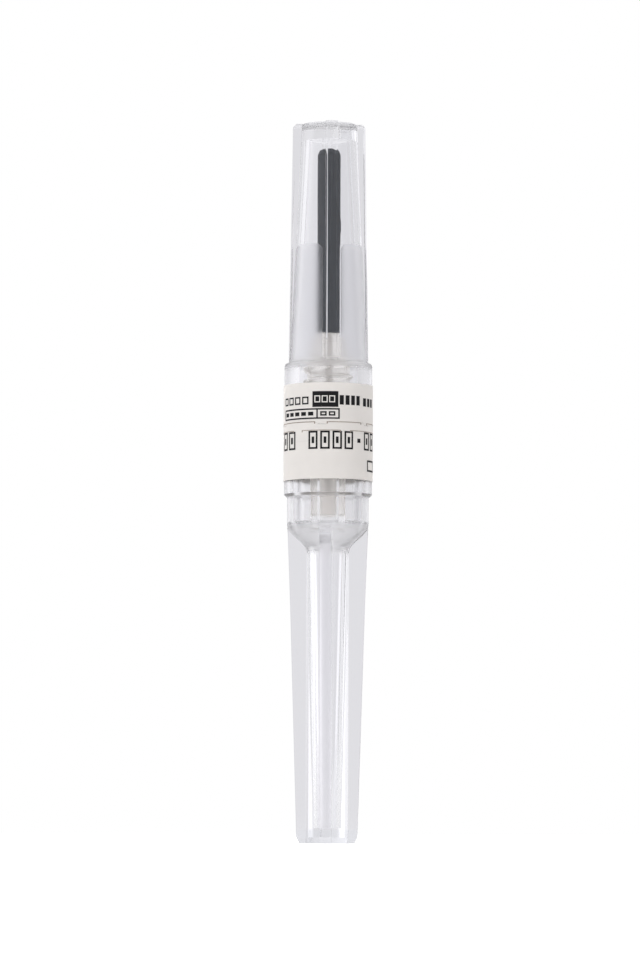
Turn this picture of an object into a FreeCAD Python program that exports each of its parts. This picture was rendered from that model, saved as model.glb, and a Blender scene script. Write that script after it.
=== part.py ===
import FreeCAD, Part
import os

import Sketcher
from FreeCAD import Placement, Rotation, Vector

# A luer adapter for blood collection, sealed in its two-part cap.
#
# The adapter is one clear moulding: a male luer cone at the bottom, a barrel with grip ribs, a
# flange, a threaded neck and a barbed boss. A steel cannula is bonded into it, and a closed rubber
# sleeve covers the cannula. A long front cap holds the cone and a short rear cap covers the sleeve.
# The front cap's spigot plugs into the rear cap, and a paper label closes the seam between them.
# The label tears along a row of slits.
#
# The part stands on the closed end of the front cap. The origin is the centre of that end, +Z runs
# up the axis towards the rear cap, and the front cap's ribs point along X and Y. Millimetres.

DRIVING_SIZES = [
    # front cap, from its closed end up
    ("front_tube_height", 36.0, "closed end of the front cap to its shoulder"),
    ("front_shoulder_height", 2.1, "height of the shoulder under the mouth"),
    ("front_shoulder_ease", 0.28, "share of the shoulder over which each of its ends is eased"),
    ("front_mouth_height", 4.05, "wide mouth below the collar"),
    ("front_collar_height", 6.45, "collar of the front cap"),
    ("spigot_height", 5.0, "spigot that plugs into the rear cap"),
    ("front_tube_radius", 2.65, "tube of the front cap below its shoulder"),
    ("front_mouth_radius", 4.98, "wide mouth of the front cap, between shoulder and collar"),
    ("front_rib_foot_reach", 3.66, "rib tips of the front cap at the closed end"),
    ("front_rib_knee_reach", 4.53, "rib tips of the front cap where they steepen"),
    ("front_rib_knee_height", 28.8, "height of that knee"),
    ("front_rib_top_reach", 4.9, "rib tips of the front cap in the shoulder"),
    ("front_end_wall", 1.83, "thickness of the front cap's closed end"),
    ("front_bore_foot_radius", 1.15, "hollow of the front cap at its closed end"),
    ("front_bore_top_radius", 1.8, "hollow of the front cap below the luer cone"),
    ("floor_wall", 0.95, "thickness of the shoulder"),
    ("front_foot_bevel", 0.32, "bevel round the closed end of the front cap"),
    ("mouth_bore_radius", 4.2, "inside of the mouth and of the spigot"),
    ("spigot_wall", 0.55, "wall of the spigot"),
    # both caps
    ("collar_radius", 5.37, "outside of both collars"),
    ("rib_thickness", 1.45, "thickness of every rib of the caps"),
    ("rib_bevel", 0.2, "bevel along the rear cap's rib tips"),
    ("seam_gap", 0.05, "gap between the two collars"),
    ("collar_bevel", 0.28, "bevel at the foot of the front cap's collar"),
    ("slip_clearance", 0.05, "radial clearance between the caps"),
    # rear cap, from its open rim up
    ("rear_collar_height", 9.9, "collar of the rear cap"),
    ("rear_body_height", 29.45, "rear cap above its collar"),
    ("rear_body_foot_radius", 4.7, "rear cap just above its collar"),
    ("rear_body_top_radius", 3.45, "rear cap at its closed end"),
    ("rear_top_bevel", 0.15, "bevel round the rear cap's closed end"),
    ("rear_rib_foot_reach", 4.83, "rib tips of the rear cap at the collar"),
    ("rear_rib_top_reach", 4.42, "rib tips of the rear cap at the closed end"),
    ("rear_rib_bevel", 0.3, "bevel at the closed end of those ribs"),
    ("rear_shoulder_ease", 0.42, "eased shoulder of the rear collar"),
    ("rear_end_wall", 2.04, "thickness of the rear cap's closed end"),
    ("rear_bore_top_radius", 2.4, "hollow of the rear cap at its closed end"),
    ("rear_bore_foot_radius", 3.75, "hollow of the rear cap over the thread"),
    ("rear_turn", 8.4, "degrees that the rear cap is turned against the front cap"),
    ("panel_height", 14.38, "matt grip panels above the collar"),
    ("panel_rise", 0.07, "how far a grip panel stands proud of the wall"),
    ("panel_margin", 0.4, "plain strip between a rib and a grip panel"),
    ("panel_rounding", 0.9, "rounded upper corners of a grip panel"),
    # adapter, from the tip of its cone up
    ("cone_length", 8.0, "luer cone, tip to grip barrel"),
    ("cone_tip_radius", 1.98, "luer cone at its tip"),
    ("cone_taper", 0.06, "taper of the cone on its diameter"),
    ("cone_tip_bevel", 0.12, "bevel at the tip of the cone"),
    ("tip_bore_radius", 0.75, "channel in the cone"),
    ("tip_bore_depth", 6.6, "depth of that channel"),
    ("barrel_height", 5.83, "grip barrel, cone to flange"),
    ("barrel_radius", 2.9, "grip barrel between its ribs"),
    ("grip_rib_reach", 3.9, "tips of the grip ribs"),
    ("grip_rib_thickness", 0.8, "thickness of a grip rib"),
    ("grip_rib_count", 8, "grip ribs, and splines in the mouth"),
    ("grip_rib_lead", 0.3, "start of the grip ribs above the barrel's foot"),
    ("grip_turn", 3.8, "degrees that splines and grip ribs are turned against the cap's ribs"),
    ("flange_clearance", 0.2, "radial clearance of the flange in the rear cap"),
    ("flange_height", 1.0, "thickness of the flange"),
    ("seat_gap", 0.03, "gap under the flange"),
    ("neck_radius", 2.62, "threaded neck between the turns"),
    ("neck_height", 4.4, "threaded neck above the flange"),
    ("thread_radius", 3.08, "crest of the holder thread"),
    ("thread_pitch", 1.5, "pitch of the holder thread"),
    ("thread_turns", 2.0, "turns of the holder thread"),
    ("thread_crest", 0.22, "flat on the crest of the thread"),
    ("thread_foot", 0.85, "height of the thread at the neck"),
    ("thread_start", 0.35, "start of the thread above the flange"),
    ("thread_root", 0.1, "depth of the thread's foot in the neck"),
    ("neck_cone_height", 1.95, "cone above the threaded neck"),
    ("ring_radius", 2.03, "ring at the top of that cone"),
    ("ring_height", 0.55, "height of the ring"),
    ("stand_height", 0.68, "plain foot of the boss, below the sleeve"),
    ("stand_radius", 1.4, "foot of the boss"),
    ("boss_height", 3.8, "boss inside the sleeve"),
    ("boss_radius", 0.98, "boss below its barb"),
    ("barb_radius", 1.06, "barb that holds the sleeve"),
    ("barb_height", 1.0, "height of the barb"),
    ("boss_tip_radius", 0.88, "boss at its top"),
    # cannula, bond and sleeve
    ("cannula_radius", 0.4, "outside of the steel cannula"),
    ("cannula_bore_radius", 0.26, "inside of the steel cannula"),
    ("cannula_heel", 3.1, "heel of the cannula above the cone's tip"),
    ("point_length", 2.2, "ground point of the cannula"),
    ("bond_radius", 0.66, "well for the adhesive round the cannula"),
    ("bond_depth", 1.9, "depth of that well"),
    ("fit_clearance", 0.01, "joint line round the cannula, the bond and the boss"),
    ("sleeve_radius", 1.4, "outside of the rubber sleeve"),
    ("sleeve_bore_radius", 0.8, "inside of the rubber sleeve above the boss"),
    ("sleeve_end_gap", 0.99, "gap between the sleeve and the rear cap's closed end"),
    ("sleeve_end_wall", 1.42, "thickness of the sleeve's closed end"),
    ("sleeve_tip_room", 0.35, "room between the cannula's point and the sleeve's end"),
    ("sleeve_crown", 0.75, "crown of the sleeve's closed end"),
    # label
    ("label_lift", 1.9, "label's lower edge above the front collar's foot"),
    ("label_height", 11.7, "paper label, lower to upper edge"),
    ("tear_height", 6.95, "label's lower edge to the row of slits it tears at"),
    ("tear_step", 0.3, "how far the tear line drops between two slits"),
    ("tear_slit", 0.04, "width of the tear line"),
    ("slit_length", 4.5, "straight part of a slit"),
    ("slit_slope", 0.35, "sloped end of a slit"),
    ("slit_pitch", 67.5, "degrees from one slit to the next"),
    ("slit_count", 5, "slits in the row"),
    ("label_thickness", 0.09, "paper and adhesive"),
    ("label_gap", 0.005, "joint line under the label"),
    ("label_turn", -105.5, "degrees that the label is turned"),
    ("label_lap", 26.0, "degrees over which the label's ends lap at the back"),
]


class Size:
    """A length with its number and the sheet formula that gives it."""

    def __init__(self, value, formula):
        self.value = value
        self.formula = formula

    def combined(self, other, sign, value):
        other_formula = other.formula if isinstance(other, Size) else repr(other)
        return Size(value, f"({self.formula} {sign} {other_formula})")

    def __add__(self, other):
        return self.combined(other, "+", self.value + number(other))

    def __sub__(self, other):
        return self.combined(other, "-", self.value - number(other))

    def __mul__(self, other):
        return self.combined(other, "*", self.value * number(other))

    def __truediv__(self, other):
        return self.combined(other, "/", self.value / number(other))

    def __neg__(self):
        return self * -1.0


def number(size):
    return size.value if isinstance(size, Size) else size


def size_sheet(doc):
    """Writes the driving sizes to the sheet and gives each one back by its name."""
    sheet = doc.addObject("Spreadsheet::Sheet", "sizes")
    for row, (name, value, meaning) in enumerate(DRIVING_SIZES, start=1):
        sheet.set(f"A{row}", meaning)
        sheet.set(f"B{row}", str(value))
        sheet.setAlias(f"B{row}", name)
    doc.recompute()
    return {name: Size(value, f"sizes.{name}") for name, value, _ in DRIVING_SIZES}


def new_body(doc, label):
    body = doc.addObject("PartDesign::Body", label)
    body.Label = label
    return body


def origin_feature(body, role):
    return next(f for f in body.Origin.OriginFeatures if f.Role == role)


def bind(item, name, size):
    """Sets a property to a size, by its formula where it has one."""
    if isinstance(size, Size):
        item.setExpression(name, size.formula)
    else:
        setattr(item, name, size)


def add_sketch(body, name, plane="XZ_Plane", height=None, turn=None):
    """A sketch on one of the body's origin planes, lifted to a height and turned about Z."""
    sketch = body.newObject("Sketcher::SketchObject", name)
    sketch.AttachmentSupport = [(origin_feature(body, plane), "")]
    sketch.MapMode = "FlatFace"
    base = Vector(0, 0, number(height or 0.0))
    rotation = Rotation(Vector(0, 0, 1), number(turn or 0.0))
    sketch.AttachmentOffset = Placement(base, rotation)
    if height is not None:
        bind(sketch, "AttachmentOffset.Base.z", height)
    if turn is not None:
        bind(sketch, "AttachmentOffset.Rotation.Angle", turn)
    return sketch


def place_corner(sketch, index, axis, size):
    """Ties one coordinate of a line's start point to a size, or to the axis where it is zero."""
    if number(size) == 0:
        sketch.addConstraint(
            Sketcher.Constraint("PointOnObject", index, 1, -2 if axis == "X" else -1)
        )
        return
    row = sketch.addConstraint(
        Sketcher.Constraint(f"Distance{axis}", -1, 1, index, 1, number(size))
    )
    if isinstance(size, Size):
        name = f"corner_{index}_{axis.lower()}"
        sketch.renameConstraint(row, name)
        sketch.setExpression(f"Constraints.{name}", size.formula)


def outline(body, name, corners, plane="XZ_Plane", height=None, turn=None):
    """A closed outline of straight lines through corners, each corner tied to its sizes."""
    sketch = add_sketch(body, name, plane, height, turn)
    points = [Vector(number(x), number(y), 0) for x, y in corners]
    count = len(points)
    for i in range(count):
        sketch.addGeometry(Part.LineSegment(points[i], points[(i + 1) % count]), False)
    for i in range(count):
        sketch.addConstraint(
            Sketcher.Constraint("Coincident", i, 2, (i + 1) % count, 1)
        )
    for i, (x, y) in enumerate(corners):
        place_corner(sketch, i, "X", x)
        place_corner(sketch, i, "Y", y)
    return sketch


def mirrored(right_side):
    """The outline whose right side runs through these corners from the bottom up."""
    return list(right_side) + [(-x, y) for x, y in reversed(right_side)]


def box_corners(left, right, low, high):
    return [(left, low), (right, low), (right, high), (left, high)]


def turned(body, name, corners, cut=False):
    """Turns an outline of (radius, height) corners round the body's axis, as solid or as cut."""
    sketch = outline(body, f"{name}_outline", corners)
    kind = "PartDesign::Groove" if cut else "PartDesign::Revolution"
    feature = body.newObject(kind, name)
    feature.Profile = sketch
    feature.ReferenceAxis = (sketch, ["V_Axis"])
    feature.Angle = 360.0
    return feature


def padded(body, name, sketch, length, both_sides=False, cut=False):
    """Extrudes a sketch, to one side or evenly to both, as solid or as cut."""
    kind = "PartDesign::Pocket" if cut else "PartDesign::Pad"
    feature = body.newObject(kind, name)
    feature.Profile = sketch
    bind(feature, "Length", length)
    if both_sides:
        feature.SideType = "Symmetric"
    return feature


def polar_pattern(body, name, feature, count, pitch=None):
    """Repeats a feature round the axis, over the full turn or at a pitch in degrees."""
    pattern = body.newObject("PartDesign::PolarPattern", name)
    pattern.Originals = [feature]
    pattern.Axis = (origin_feature(body, "Z_Axis"), [""])
    pattern.Angle = 360.0
    if pitch is not None:
        pattern.Mode = "Spacing"
        bind(pattern, "Offset", pitch)
    bind(pattern, "Occurrences", count)
    body.Tip = pattern
    return pattern


def eased(doc, body, name, width, wanted, kind="Chamfer"):
    """Bevels, or with kind Fillet rounds, the edges of the body's shape that wanted picks."""
    doc.recompute()
    base = body.Tip
    names = [f"Edge{i}" for i, e in enumerate(base.Shape.Edges, start=1) if wanted(e)]
    if not names:
        raise RuntimeError(f"{name}: no edge found")
    feature = body.newObject(f"PartDesign::{kind}", name)
    feature.Base = (base, names)
    bind(feature, "Radius" if kind == "Fillet" else "Size", width)
    return feature


def is_ring(edge, height, radius):
    """Whether an edge is a circle of this radius, level at this height."""
    box = edge.BoundBox
    level = abs(box.ZMin - number(height)) < 1e-4 and box.ZLength < 1e-4
    return level and abs(box.XMax - number(radius)) < 1e-3


def middle_of(edge):
    return edge.valueAt((edge.FirstParameter + edge.LastParameter) / 2)


def rib_cross(doc, body, name, right_side, thickness, bevel=None):
    """Adds four ribs, as two blades through the axis, with a bevel along the tips if one is given."""
    cross = new_body(doc, name)
    for plane in ("XZ_Plane", "YZ_Plane"):
        label = f"{name}_{plane[:2].lower()}"
        sketch = outline(cross, f"{label}_outline", mirrored(right_side), plane)
        padded(cross, label, sketch, thickness, both_sides=True)
    half = number(thickness) / 2

    def on_tip(edge):
        middle = middle_of(edge)
        across, along = sorted((abs(middle.x), abs(middle.y)))
        on_side = abs(across - half) < 1e-3
        at_tip = abs(along - reach_at(right_side, middle.z)) < 1e-3
        return on_side and at_tip and edge.BoundBox.ZLength > half

    if bevel is not None:
        eased(doc, cross, f"{name}_tips", bevel, on_tip)
    join = body.newObject("PartDesign::Boolean", f"{name}_join")
    join.setObjects([cross])
    join.Type = "Fuse"
    return join


def reach_at(right_side, height):
    """Reach at a height of the outline that these (reach, height) corners give."""
    corners = [(number(x), number(z)) for x, z in right_side]
    for (x_low, z_low), (x_high, z_high) in zip(corners, corners[1:]):
        if z_low - 1e-3 <= height <= z_high + 1e-3:
            return x_low + (x_high - x_low) * (height - z_low) / (z_high - z_low)
    return 0.0


def levels(size):
    """Heights above the origin that more than one piece needs."""
    at = {}
    at["shoulder"] = size["front_tube_height"]
    at["mouth"] = at["shoulder"] + size["front_shoulder_height"]
    at["front_collar"] = at["mouth"] + size["front_mouth_height"]
    at["seam"] = at["front_collar"] + size["front_collar_height"]
    at["spigot_top"] = at["seam"] + size["spigot_height"]
    at["flange"] = at["spigot_top"] + size["seat_gap"]
    at["barrel"] = at["flange"] - size["barrel_height"]
    at["cone_tip"] = at["barrel"] - size["cone_length"]
    at["flange_top"] = at["flange"] + size["flange_height"]
    at["neck_top"] = at["flange_top"] + size["neck_height"]
    at["ring"] = at["neck_top"] + size["neck_cone_height"]
    at["stand"] = at["ring"] + size["ring_height"]
    at["boss"] = at["stand"] + size["stand_height"]
    at["boss_top"] = at["boss"] + size["boss_height"]
    at["sleeve_rim"] = at["boss"] + size["fit_clearance"]
    at["bond"] = at["boss_top"] - size["bond_depth"]
    at["cannula"] = at["cone_tip"] + size["cannula_heel"]
    at["rear_rim"] = at["seam"] + size["seam_gap"]
    at["rear_collar_top"] = at["rear_rim"] + size["rear_collar_height"]
    at["rear_top"] = at["rear_collar_top"] + size["rear_body_height"]
    at["rear_end"] = at["rear_top"] - size["rear_end_wall"]
    at["sleeve_top"] = at["rear_end"] - size["sleeve_end_gap"]
    at["sleeve_end"] = at["sleeve_top"] - size["sleeve_end_wall"]
    at["point"] = at["sleeve_end"] - size["sleeve_tip_room"]
    at["label_foot"] = at["front_collar"] + size["label_lift"]
    at["tear"] = at["label_foot"] + size["tear_height"]
    at["label_top"] = at["label_foot"] + size["label_height"]
    return at


def front_cap(doc, size, at):
    """The long cap: a tube with four ribs, a wide mouth with splines, a collar and a spigot."""
    body = new_body(doc, "front_cap")
    spigot_radius = size["mouth_bore_radius"] + size["spigot_wall"]
    tube = size["front_tube_radius"]
    mouth = size["front_mouth_radius"]
    rise = size["front_shoulder_height"] * size["front_shoulder_ease"]
    run = (mouth - tube) * size["front_shoulder_ease"]
    turned(
        body,
        "front_wall",
        [
            (0.0, 0.0),
            (tube, 0.0),
            (tube, at["shoulder"] - rise),
            (tube + run / 4, at["shoulder"]),
            (tube + run, at["shoulder"] + rise),
            (mouth - run, at["mouth"] - rise),
            (mouth - run / 4, at["mouth"]),
            (mouth, at["mouth"] + rise),
            (mouth, at["front_collar"]),
            (size["collar_radius"] - size["collar_bevel"], at["front_collar"]),
            (size["collar_radius"], at["front_collar"] + size["collar_bevel"]),
            (size["collar_radius"], at["seam"]),
            (spigot_radius, at["seam"]),
            (spigot_radius, at["spigot_top"]),
            (0.0, at["spigot_top"]),
        ],
    )
    rib_cross(
        doc,
        body,
        "front_ribs",
        [
            (size["front_rib_foot_reach"], 0.0),
            (size["front_rib_knee_reach"], size["front_rib_knee_height"]),
            (size["front_rib_top_reach"], at["mouth"] + rise),
        ],
        size["rib_thickness"],
    )
    foot_bevel(body, size)
    turned(body, "front_hollow", front_hollow(size, at), cut=True)
    splines(body, size, at)
    return body


def foot_bevel(body, size):
    """Bevel round the closed end, along the rib tips."""
    reach = size["front_rib_foot_reach"]
    width = size["front_foot_bevel"]
    turned(
        body,
        "front_foot_bevel",
        [
            (reach - width, 0.0),
            (reach + width, 0.0),
            (reach + width, width * 4.0),
        ],
        cut=True,
    )


def front_hollow(size, at):
    """Outline of the front cap's inside, from its closed end to the spigot's rim."""
    floor_foot = at["shoulder"] + size["floor_wall"] / 3
    floor_top = at["mouth"] + size["floor_wall"]
    return [
        (0.0, size["front_end_wall"]),
        (size["front_bore_foot_radius"], size["front_end_wall"]),
        (size["front_bore_top_radius"], floor_foot),
        (size["mouth_bore_radius"], floor_top),
        (size["mouth_bore_radius"], at["spigot_top"]),
        (0.0, at["spigot_top"]),
    ]


def splines(body, size, at):
    """Splines in the mouth that the grip ribs run between."""
    half = size["grip_rib_thickness"] / 2
    rib_step = Size(
        360.0 / number(size["grip_rib_count"]), f"(360 / {size['grip_rib_count'].formula})"
    )
    low = at["mouth"] - size["floor_wall"] / 2
    inner = size["grip_rib_reach"] - size["grip_rib_thickness"] / 2
    outer = size["mouth_bore_radius"] + size["spigot_wall"] / 2
    sketch = outline(
        body,
        "spline_outline",
        box_corners(inner, outer, -half, half),
        "XY_Plane",
        low,
        rib_step / 2 + size["grip_turn"],
    )
    spline = padded(body, "spline", sketch, at["spigot_top"] - size["flange_height"] - low)
    polar_pattern(body, "splines", spline, size["grip_rib_count"])


def rear_cap(doc, size, at):
    """The short cap: a tapered tube with four ribs, matt grip panels and a collar."""
    body = new_body(doc, "rear_cap")
    ease = size["rear_shoulder_ease"]
    turned(
        body,
        "rear_wall",
        [
            (0.0, at["rear_rim"]),
            (size["collar_radius"], at["rear_rim"]),
            (size["collar_radius"], at["rear_collar_top"] - ease),
            (size["collar_radius"] - ease * 0.3, at["rear_collar_top"] - ease * 0.3),
            (size["collar_radius"] - ease, at["rear_collar_top"]),
            (size["rear_body_foot_radius"], at["rear_collar_top"]),
            (size["rear_body_top_radius"], at["rear_top"]),
            (0.0, at["rear_top"]),
        ],
    )
    eased(
        doc,
        body,
        "rear_crown",
        size["rear_top_bevel"],
        lambda e: is_ring(e, at["rear_top"], size["rear_body_top_radius"]),
    )
    grip_panels(doc, body, size, at)
    rib_cross(
        doc,
        body,
        "rear_ribs",
        [
            (size["rear_rib_foot_reach"], at["rear_collar_top"] - size["rib_bevel"]),
            (size["rear_rib_top_reach"], at["rear_top"]),
        ],
        size["rib_thickness"],
        size["rib_bevel"],
    )
    reach = size["rear_rib_top_reach"]
    width = size["rear_rib_bevel"]
    turned(
        body,
        "rear_rib_bevel",
        [
            (reach - width, at["rear_top"]),
            (reach + width, at["rear_top"] - width * 2.0),
            (reach + width, at["rear_top"]),
        ],
        cut=True,
    )
    turned(body, "rear_hollow", rear_hollow(size, at), cut=True)
    body.Placement = Placement(
        Vector(), Rotation(Vector(0, 0, 1), number(size["rear_turn"]))
    )
    bind(body, "Placement.Rotation.Angle", size["rear_turn"])
    return body


def rear_hollow(size, at):
    """Outline of the rear cap's inside, from its rim to its closed end."""
    spigot_bore = (
        size["mouth_bore_radius"] + size["spigot_wall"] + size["slip_clearance"]
    )
    step_foot = at["flange_top"] + size["seat_gap"]
    return [
        (0.0, at["rear_rim"]),
        (spigot_bore, at["rear_rim"]),
        (spigot_bore, step_foot),
        (size["rear_bore_foot_radius"], step_foot),
        (size["rear_bore_top_radius"], at["rear_end"]),
        (0.0, at["rear_end"]),
    ]


def grip_panels(doc, body, size, at):
    """Raised panels between the ribs, from the collar up, each a quarter of the wall."""
    foot = size["rear_body_foot_radius"]
    share = size["panel_height"] / size["rear_body_height"]
    top = foot - (foot - size["rear_body_top_radius"]) * share
    rise = size["panel_rise"]
    edge = size["rib_thickness"] / 2 + size["panel_margin"]
    high = at["rear_collar_top"] + size["panel_height"]
    sketch = outline(
        body,
        "panel_corner",
        box_corners(edge, foot + rise, edge, foot + rise),
        "XY_Plane",
        at["rear_collar_top"],
    )
    panel = padded(body, "panel", sketch, size["panel_height"])
    polar_pattern(body, "panels", panel, 4)

    def is_top_side(candidate):
        box = candidate.BoundBox
        if abs(box.ZMin - number(high)) > 1e-4 or box.ZLength > 1e-4:
            return False
        middle = middle_of(candidate)
        offset = min(abs(middle.x), abs(middle.y))
        return abs(offset - number(edge)) < 1e-4

    eased(doc, body, "panel_corners", size["panel_rounding"], is_top_side, "Fillet")
    turned(
        body,
        "panel_face",
        [
            (foot + rise, at["rear_collar_top"]),
            (foot * 2.0, at["rear_collar_top"]),
            (foot * 2.0, high),
            (top + rise, high),
        ],
        cut=True,
    )


def hub(doc, size, at):
    """The adapter's moulding, from the tip of its luer cone to the top of its barbed boss."""
    body = new_body(doc, "hub")
    turned(body, "hub_wall", hub_wall(size, at))
    eased(
        doc,
        body,
        "cone_tip",
        size["cone_tip_bevel"],
        lambda e: is_ring(e, at["cone_tip"], size["cone_tip_radius"]),
    )
    half = size["grip_rib_thickness"] / 2
    foot = at["barrel"] + size["grip_rib_lead"]
    sketch = outline(
        body,
        "grip_rib_outline",
        box_corners(size["boss_radius"], size["grip_rib_reach"], -half, half),
        "XY_Plane",
        foot,
    )
    rib = padded(body, "grip_rib", sketch, at["flange"] + size["seat_gap"] - foot)
    polar_pattern(body, "grip_ribs", rib, size["grip_rib_count"])
    holder_thread(body, size, at)
    turned(body, "hub_channel", hub_channel(size, at), cut=True)
    body.Placement = Placement(
        Vector(), Rotation(Vector(0, 0, 1), number(size["grip_turn"]))
    )
    bind(body, "Placement.Rotation.Angle", size["grip_turn"])
    return body


def hub_wall(size, at):
    cone_base = size["cone_tip_radius"] + size["cone_length"] * size["cone_taper"] / 2
    flange_radius = (
        size["mouth_bore_radius"]
        + size["spigot_wall"]
        + size["slip_clearance"]
        - size["flange_clearance"]
    )
    barb_foot = at["boss_top"] - size["barb_height"]
    return [
        (0.0, at["cone_tip"]),
        (size["cone_tip_radius"], at["cone_tip"]),
        (cone_base, at["barrel"]),
        (size["barrel_radius"], at["barrel"]),
        (size["barrel_radius"], at["flange"]),
        (flange_radius, at["flange"]),
        (flange_radius, at["flange_top"]),
        (size["neck_radius"], at["flange_top"]),
        (size["neck_radius"], at["neck_top"]),
        (size["ring_radius"], at["ring"]),
        (size["ring_radius"], at["stand"]),
        (size["stand_radius"], at["stand"]),
        (size["stand_radius"], at["boss"]),
        (size["boss_radius"], at["boss"]),
        (size["boss_radius"], barb_foot),
        (size["barb_radius"], barb_foot),
        (size["boss_tip_radius"], at["boss_top"]),
        (0.0, at["boss_top"]),
    ]


def holder_thread(body, size, at):
    """The helical thread that a tube holder screws on to."""
    foot = size["neck_radius"] - size["thread_root"]
    low = at["flange_top"] + size["thread_start"]
    middle = low + size["thread_foot"] / 2
    half_crest = size["thread_crest"] / 2
    sketch = outline(
        body,
        "thread_outline",
        [
            (foot, low),
            (size["thread_radius"], middle - half_crest),
            (size["thread_radius"], middle + half_crest),
            (foot, low + size["thread_foot"]),
        ],
    )
    helix = body.newObject("PartDesign::AdditiveHelix", "holder_thread")
    helix.Profile = sketch
    helix.ReferenceAxis = (sketch, ["V_Axis"])
    helix.Mode = "pitch-turns-angle"
    bind(helix, "Pitch", size["thread_pitch"])
    bind(helix, "Turns", size["thread_turns"])
    return helix


def hub_channel(size, at):
    """Outline of the way through the hub, with the well for the adhesive at its top."""
    hole = size["cannula_radius"] + size["fit_clearance"]
    bore_top = at["cone_tip"] + size["tip_bore_depth"]
    return [
        (0.0, at["cone_tip"]),
        (size["tip_bore_radius"], at["cone_tip"]),
        (size["tip_bore_radius"], bore_top),
        (hole, bore_top),
        (hole, at["bond"]),
        (size["bond_radius"], at["bond"]),
        (size["bond_radius"], at["boss_top"]),
        (0.0, at["boss_top"]),
    ]


def cannula(doc, size, at):
    """The steel tube, ground to a point at its upper end."""
    body = new_body(doc, "cannula")
    outer = size["cannula_radius"]
    turned(
        body,
        "cannula_tube",
        [
            (size["cannula_bore_radius"], at["cannula"]),
            (outer, at["cannula"]),
            (outer, at["point"]),
            (size["cannula_bore_radius"], at["point"]),
        ],
    )
    low = at["point"] - size["point_length"]
    sketch = outline(
        body,
        "point_outline",
        [
            (outer, low),
            (outer * 2.0, low),
            (outer * 2.0, at["point"] + outer),
            (-outer, at["point"] + outer),
            (-outer, at["point"]),
        ],
    )
    padded(body, "ground_point", sketch, outer * 4.0, both_sides=True, cut=True)
    return body


def adhesive(doc, size, at):
    """The bead that bonds the cannula in its well, domed a little at the top."""
    body = new_body(doc, "adhesive")
    clear = size["fit_clearance"]
    inner = size["cannula_radius"] + clear
    outer = size["bond_radius"] - clear
    turned(
        body,
        "bead",
        [
            (inner, at["bond"] + clear),
            (outer, at["bond"] + clear),
            (outer, at["boss_top"]),
            (inner, at["boss_top"] + inner / 2),
        ],
    )
    return body


def sleeve(doc, size, at):
    """The closed rubber sleeve over the cannula, pushed over the barb of the boss."""
    body = new_body(doc, "sleeve")
    clear = size["fit_clearance"]
    outer = size["sleeve_radius"]
    top = at["sleeve_top"]
    barb_foot = at["boss_top"] - size["barb_height"]
    crown = size["sleeve_crown"]
    turned(
        body,
        "sleeve_wall",
        [
            (0.0, at["sleeve_rim"]),
            (outer, at["sleeve_rim"]),
            (outer, top - crown),
            (outer - crown * 0.3, top - crown * 0.3),
            (outer - crown, top),
            (0.0, top),
        ],
    )
    turned(
        body,
        "sleeve_hollow",
        [
            (0.0, at["sleeve_rim"]),
            (size["boss_radius"] + clear, at["sleeve_rim"]),
            (size["boss_radius"] + clear, barb_foot - clear),
            (size["barb_radius"] + clear, barb_foot - clear),
            (size["boss_tip_radius"] + clear, at["boss_top"] + clear),
            (size["sleeve_bore_radius"], at["boss_top"] + size["barb_height"]),
            (size["sleeve_bore_radius"], at["sleeve_end"]),
            (0.0, at["sleeve_end"]),
        ],
        cut=True,
    )
    return body


def label_half(doc, label, low, high, teeth, lap, size):
    """A ring of the paper label: its toothed tear edge, its outer face and the lap at the back."""
    body = new_body(doc, label)
    inner = size["collar_radius"] + size["label_gap"]
    outer = inner + size["label_thickness"]
    turned(body, f"{label}_disc", [(0.0, low), (outer, low), (outer, high), (0.0, high)])
    tooth_low, tooth_high, cut = teeth
    half_top = size["slit_length"] / 2
    half_foot = half_top + size["slit_slope"]
    sketch = outline(
        body,
        f"{label}_tooth_outline",
        [
            (-half_foot, tooth_low),
            (half_foot, tooth_low),
            (half_top, tooth_high),
            (-half_top, tooth_high),
        ],
    )
    tooth = padded(body, f"{label}_tooth", sketch, outer * 1.5, cut=cut)
    tooth.Reversed = cut
    polar_pattern(body, f"{label}_teeth", tooth, size["slit_count"], size["slit_pitch"])
    face_low = low - size["tear_step"]
    face_high = high + size["tear_step"] * 2.0
    face = box_corners(outer, outer * 2.0, face_low, face_high)
    turned(body, f"{label}_face", face, cut=True)
    lap_low, lap_high = lap
    lap_outline = outline(
        body,
        f"{label}_lap_outline",
        box_corners(-outer - size["label_thickness"], -inner, lap_low, lap_high),
    )
    lap_ring = body.newObject("PartDesign::Revolution", f"{label}_lap")
    lap_ring.Profile = lap_outline
    lap_ring.ReferenceAxis = (lap_outline, ["V_Axis"])
    lap_ring.Midplane = True
    bind(lap_ring, "Angle", size["label_lap"])
    hollow = box_corners(0.0, inner, face_low, face_high)
    turned(body, f"{label}_hollow", hollow, cut=True)
    body.Placement = Placement(
        Vector(), Rotation(Vector(0, 0, 1), number(size["label_turn"]))
    )
    bind(body, "Placement.Rotation.Angle", size["label_turn"])
    return body


def labels(doc, size, at):
    """The paper label in the two halves that its tear line makes."""
    dip = at["tear"] - size["tear_step"]
    slit = size["tear_slit"]
    lower_tear = at["tear"] - slit
    lower = label_half(
        doc,
        "label_lower",
        at["label_foot"],
        dip - slit,
        (dip - slit * 2.0, lower_tear, False),
        (at["label_foot"], lower_tear),
        size,
    )
    upper = label_half(
        doc,
        "label_upper",
        dip,
        at["label_top"],
        (dip - slit, at["tear"], True),
        (at["tear"], at["label_top"]),
        size,
    )
    return [lower, upper]


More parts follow.
